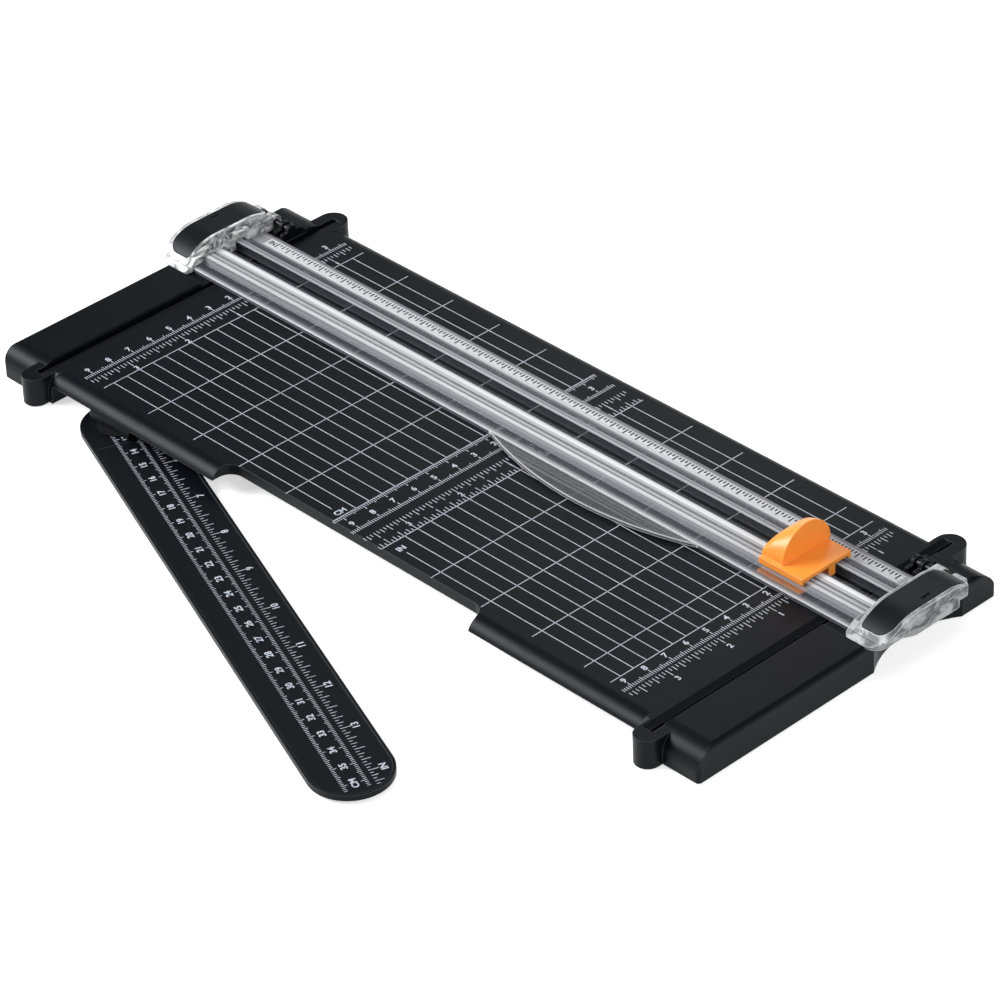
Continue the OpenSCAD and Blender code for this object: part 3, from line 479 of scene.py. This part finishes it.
def glyph(text):
    """Points and faces of a word, one unit high and centred."""
    if text not in glyphs:
        curve = bpy.data.curves.new("glyph", "FONT")
        curve.body = text
        curve.offset = 0.03
        curve.resolution_u = 3
        holder = bpy.data.objects.new("glyph", curve)
        scene.collection.objects.link(holder)
        bpy.context.view_layer.update()
        flat = bpy.data.meshes.new_from_object(
            holder.evaluated_get(bpy.context.evaluated_depsgraph_get()))
        xs = [v.co.x for v in flat.vertices]
        ys = [v.co.y for v in flat.vertices]
        middle_x = (min(xs) + max(xs)) / 2
        middle_y = (min(ys) + max(ys)) / 2
        height = max(ys) - min(ys)
        points = [((x - middle_x) / height, (y - middle_y) / height) for x, y in zip(xs, ys)]
        glyphs[text] = (points, [list(f.vertices) for f in flat.polygons])
        bpy.data.objects.remove(holder)
        bpy.data.curves.remove(curve)
        bpy.data.meshes.remove(flat)
    return glyphs[text]


class Print:
    """Ink laid on one flat, level face at height z.

    Places are (along, across) in millimetres from the origin; reading and up are the
    directions of its words in the same terms."""

    def __init__(self, origin, along, across, z, reading, up):
        self.origin = origin
        self.along = along
        self.across = across
        self.z = z
        self.reading = reading
        self.up = up
        self.points = []
        self.faces = []

    def add(self, flat, faces):
        """Adds (along, across) points and the faces between them."""
        start = len(self.points)
        for a, b in flat:
            x = self.origin[0] + self.along[0] * a + self.across[0] * b
            y = self.origin[1] + self.along[1] * a + self.across[1] * b
            self.points.append((x * MM, y * MM, self.z * MM))
        self.faces += [[start + i for i in face] for face in faces]

    def line(self, a, b, width):
        """A straight stroke from a to b."""
        u = Vector((b[0] - a[0], b[1] - a[1])).normalized() * width / 2
        n = Vector((-u.y, u.x))
        self.add([(a[0] - n.x, a[1] - n.y), (b[0] - n.x, b[1] - n.y),
                  (b[0] + n.x, b[1] + n.y), (a[0] + n.x, a[1] + n.y)], [[0, 1, 2, 3]])

    def comb(self, marks, base, side, lengths, width):
        """Ticks at (place, rank) marks that stand on the line `base`, towards `side`."""
        for place, rank in marks:
            self.line((place, base), (place, base + side * lengths[rank]), width)

    def word(self, text, at, height):
        """A word centred on a place."""
        points, faces = glyph(text)
        reading = self.reading
        up = self.up
        self.add([(at[0] + height * (x * reading[0] + y * up[0]),
                   at[1] + height * (x * reading[1] + y * up[1])) for x, y in points], faces)

    def piece(self, name, material, body, slot):
        """The print as one named piece that rides with a body."""
        mesh = bpy.data.meshes.new(name)
        mesh.from_pydata(self.points, [], self.faces)
        mesh.update()
        if sum(f.normal.z for f in mesh.polygons) < 0:
            mesh.flip_normals()
        mesh.materials.append(material)
        made = bpy.data.objects.new(name, mesh)
        scene.collection.objects.link(made)
        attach(made, body)


def tick_rank(count, steps):
    """How many of the steps the count is a multiple of: a longer tick for each."""
    return sum(count % step == 0 for step in steps)


def metric_marks(first, last):
    """(place, rank) of each millimetre: rank 0 short, 1 half centimetre, 2 centimetre."""
    return [(k, tick_rank(k, (5, 10))) for k in range(first, last + 1)]


def inch_marks(first, last):
    """(place, rank) of each sixteenth: rank 0 sixteenth, 1 eighth, 2 quarter, 3 half or inch."""
    return [(k * INCH / 16, tick_rank(k, (2, 4, 8))) for k in range(first, last + 1)]


# The deck's prints. Along is Y, from the cutting line to the back; across is X.
# The ends and the rail's two sides are places in Y, the lines places in X.

DECK_TOP = 12.0
FRONT_END = -93.7
REAR_END = 37.4
RAIL_FRONT = -11
RAIL_BACK = 12
LEFT_LINE = -134.3
RIGHT_LINE = 132.4
CM_LINE = -7.3
IN_LINE = 18.1
GRID_WIDTH = 0.34
DECK_TICK = 0.32
DECK_CM_TICKS = (1.7, 2.4, 3.1)
DECK_INCH_TICKS = (1.8, 2.7, 3.6, 4.0)
CM_DIGIT = 2.8
INCH_DIGIT = 2.6
UNIT_WORD = 2.7


def deck_sheet():
    return Print(origin=(0, 0), along=(0, 1), across=(1, 0), z=DECK_TOP + INK_LIFT,
                 reading=(1, 0), up=(0, -1))


def both_stretches(marks):
    """The marks before and behind the rail; under it the deck is bare."""
    return [m for m in marks if FRONT_END - 0.3 <= m[0] <= RAIL_FRONT
            or RAIL_BACK <= m[0] <= REAR_END + 0.3]


DECK_CM_MARKS = both_stretches(metric_marks(-94, 38))
DECK_INCH_MARKS = both_stretches(inch_marks(-59, 24))


def deck_ruler(metric, inches, digits_x, inch_digits_x):
    """One printed ruler: its combs in millimetres and in inches, each an (X, side), and its
    numbers of centimetres and of inches, each row at an X."""
    sheet = deck_sheet()
    for x, side in metric:
        sheet.comb(DECK_CM_MARKS, x, side, DECK_CM_TICKS, DECK_TICK)
    for x, side in inches:
        sheet.comb(DECK_INCH_MARKS, x, side, DECK_INCH_TICKS, DECK_TICK)
    for k in list(range(2, 10)) + [-3]:
        sheet.word(str(abs(k)), (-10 * k, digits_x), CM_DIGIT)
    for k in (1, 2, 3, -1):
        sheet.word(str(abs(k)), (-INCH * k, inch_digits_x), INCH_DIGIT)
    return sheet


left_ruler = deck_ruler(metric=[(-143.5, -1)], inches=[(-141.8, 1)],
                        digits_x=-148.2, inch_digits_x=-136.0)
left_ruler.piece("left_ruler_print", white_ink, "base", "scale_film")

centre_ruler = deck_ruler(metric=[(CM_LINE, 1), (4.0, -1)], inches=[(8.6, 1), (IN_LINE, -1)],
                          digits_x=-1.3, inch_digits_x=13.7)
centre_ruler.word("CM", (-88.0, -9.9), UNIT_WORD)
centre_ruler.word("IN", (-88.6, 22.8), UNIT_WORD)
centre_ruler.piece("centre_ruler_print", white_ink, "base", "scale_film")

right_ruler = deck_ruler(metric=[(139.8, -1)], inches=[(141.1, 1)],
                         digits_x=134.9, inch_digits_x=147.2)
right_ruler.piece("right_ruler_print", white_ink, "base", "scale_film")

# The grid: lines along Y each inch from the left and one at the right end, and lines along X,
# broken by the centre ruler, counted in quarter inches to the front of the cutting line.
# The foremost of those leaves room for the words CM and IN.
GRID_COLUMNS = 11
GRID_ROWS = list(range(3, 15)) + [-4, -5]
FOREMOST_ROW = 14
CM_ROOM = 6.0
IN_ROOM = 8.0

grid = deck_sheet()
for x in [LEFT_LINE + INCH * k for k in range(GRID_COLUMNS)] + [RIGHT_LINE]:
    grid.line((FRONT_END, x), (REAR_END, x), GRID_WIDTH)
for row in GRID_ROWS:
    y = -INCH * row / 4
    left_end = CM_LINE - (CM_ROOM if row == FOREMOST_ROW else 0.0)
    right_start = IN_LINE + (IN_ROOM if row == FOREMOST_ROW else 0.0)
    grid.line((y, LEFT_LINE), (y, left_end), GRID_WIDTH)
    grid.line((y, right_start), (y, RIGHT_LINE), GRID_WIDTH)
grid.piece("deck_grid_print", white_ink, "base", "scale_film")


# The arm's prints. Along is the arm, from its pivot to its tip; across is to its left side.
# The lines that its combs stand on and the rows of its numbers are places across it.

ARM_PIVOT = (-121.0, -97.2)
ARM_TURN = math.radians(20.85)
ARM_TOP = 3.8
ARM_CM_LINES = (-6.6, 2.9)
ARM_INCH_LINE = 4.9
ARM_DIGITS = -1.9
ARM_INCH_DIGITS = 10.2
ARM_CM_HEIGHT = 2.7
ARM_INCH_HEIGHT = 2.8
ARM_TICK = 0.26
ARM_INCH_TICK = 0.28
TO_TIP = (math.cos(ARM_TURN), -math.sin(ARM_TURN))
# The 33 cm mark stands 209.5 mm from the pivot; both of the arm's scales count from one zero.
ARM_ZERO = 209.5 - 330


def on_arm(marks):
    return [(place + ARM_ZERO, rank) for place, rank in marks]


arm_sheet = Print(origin=ARM_PIVOT, along=TO_TIP, across=(-TO_TIP[1], TO_TIP[0]),
                  z=ARM_TOP + INK_LIFT, reading=(-1, 0), up=(0, -1))
arm_marks = on_arm(metric_marks(122, 363))
arm_sheet.comb(arm_marks, ARM_CM_LINES[0], 1, (1.3, 1.8, 2.3), ARM_TICK)
arm_sheet.comb(arm_marks, ARM_CM_LINES[1], -1, (1.3, 1.8, 2.4), ARM_TICK)
arm_sheet.comb(on_arm(inch_marks(78, 229)), ARM_INCH_LINE, 1, (1.4, 2.4, 3.4, 3.9), ARM_INCH_TICK)
for k in range(13, 36):
    arm_sheet.word(str(k), (10 * k + ARM_ZERO, ARM_DIGITS), ARM_CM_HEIGHT)
for k in range(5, 14):
    arm_sheet.word(str(k), (INCH * k + ARM_ZERO, ARM_INCH_DIGITS), ARM_INCH_HEIGHT)
arm_sheet.word("CM", (360 + ARM_ZERO, ARM_DIGITS), UNIT_WORD)
arm_sheet.word("IN", (14 * INCH + ARM_ZERO, 10.4), UNIT_WORD)
arm_sheet.piece("arm_scale_print", white_ink, "ruler", "scale_film")


# The film's print, on the rear rail. Along is X, across is Y.

FILM_ZERO = -160.2
FILM_MARGIN = 0.4
FILM_TICK = 0.7
FILM_TICKS = (1.5, 2.3, 3.1, 3.1)
film_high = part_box("scale_strip")[1]
film_back = film_high.y / MM

film_sheet = Print(origin=(0, 0), along=(1, 0), across=(0, 1), z=film_high.z / MM + INK_LIFT,
                   reading=(1, 0), up=(0, 1))
film_marks = [(place + FILM_ZERO, rank) for place, rank in inch_marks(0, 204)]
film_sheet.comb(film_marks, film_back - FILM_MARGIN, -1, FILM_TICKS, FILM_TICK)
film_sheet.word("IN", (FILM_ZERO - 2.6, film_back - 2.0), 2.4)
film_sheet.piece("film_scale_print", black_ink, "rail", "strip_plastic")


# Studio: floor, light and camera

FLOOR_HALF = 8.0
FLOOR_GLOW = 0.6
FOCAL_PIXELS = 4745.70
PHOTO_PIXELS = 1000
SENSOR_WIDTH = 36.0


def make_floor():
    """A pale floor that glows a little where the camera sees it, so that it stays white."""
    mesh = bpy.data.meshes.new("floor")
    corners = [(x * FLOOR_HALF, y * FLOOR_HALF, 0) for x, y in ((-1, -1), (1, -1), (1, 1), (-1, 1))]
    mesh.from_pydata(corners, [], [[0, 1, 2, 3]])
    floor = bpy.data.objects.new("floor", mesh)
    scene.collection.objects.link(floor)
    material, tree, shader = blank_material("pale_floor", Roughness=0.9, Specular_IOR_Level=0.1)
    shader.inputs["Base Color"].default_value = rgb(0.88, 0.88, 0.88)
    shader.inputs["Emission Color"].default_value = rgb(1, 1, 1)
    path = node(tree, "LightPath")
    seen = math_node(tree, "MAXIMUM", path.outputs["Is Camera Ray"],
                     path.outputs["Is Glossy Ray"])
    seen = math_node(tree, "MAXIMUM", seen, path.outputs["Is Transmission Ray"])
    feed(tree, shader.inputs["Emission Strength"], math_node(tree, "MULTIPLY", seen, FLOOR_GLOW))
    mesh.materials.append(material)


def make_world():
    world = bpy.data.worlds.new("studio")
    scene.world = world
    world.use_nodes = True
    background = world.node_tree.nodes["Background"]
    background.inputs["Color"].default_value = rgb(1, 1, 1)
    background.inputs["Strength"].default_value = 0.1


def area_lamp(name, place, target, size, power):
    light = bpy.data.lights.new(name, "AREA")
    light.shape = "RECTANGLE"
    light.size, light.size_y = size
    light.energy = power
    lamp = bpy.data.objects.new(name, light)
    lamp.location = place
    lamp.rotation_euler = (Vector(target) - Vector(place)).to_track_quat("-Z", "Y").to_euler()
    scene.collection.objects.link(lamp)


def make_camera():
    """The photograph's viewpoint, solved from the deck's inch grid."""
    ahead = Vector((-0.60802179, 0.55743817, -0.56530717))
    right = Vector((0.69294634, 0.72012938, -0.0352001))
    up = Vector((-0.38747243, 0.41312996, 0.82412909))
    lens = bpy.data.cameras.new("photo_view")
    lens.sensor_width = SENSOR_WIDTH
    lens.lens = FOCAL_PIXELS / PHOTO_PIXELS * SENSOR_WIDTH
    lens.clip_start = 0.05
    lens.clip_end = 50.0
    camera = bpy.data.objects.new("photo_view", lens)
    turn = Matrix((right, up, -ahead)).transposed().to_4x4()
    camera.matrix_world = Matrix.Translation((1.058167, -0.989534, 0.971162)) @ turn
    scene.collection.objects.link(camera)
    scene.camera = camera


make_floor()
make_world()
area_lamp("key", place=(-1.28, -1.15, 1.21), target=(0, 0, 0), size=(1.2, 1.0), power=64.0)
area_lamp("overhead", place=(0.1, 0.0, 1.7), target=(0, 0, 0), size=(1.2, 1.0), power=6.0)
area_lamp("right_fill", place=(1.5, 0.1, 0.8), target=(0, 0, 0), size=(1.0, 0.8), power=14.0)
area_lamp("sheen", place=(-0.5, 0.6, 0.595), target=(0.1, 0, 0), size=(0.35, 0.35), power=0.8)
area_lamp("backdrop", place=(-1.5, 1.4, 0.5), target=(0, 0, 0.02), size=(2.4, 0.9), power=2.2)
make_camera()
scene.view_settings.view_transform = "Standard"
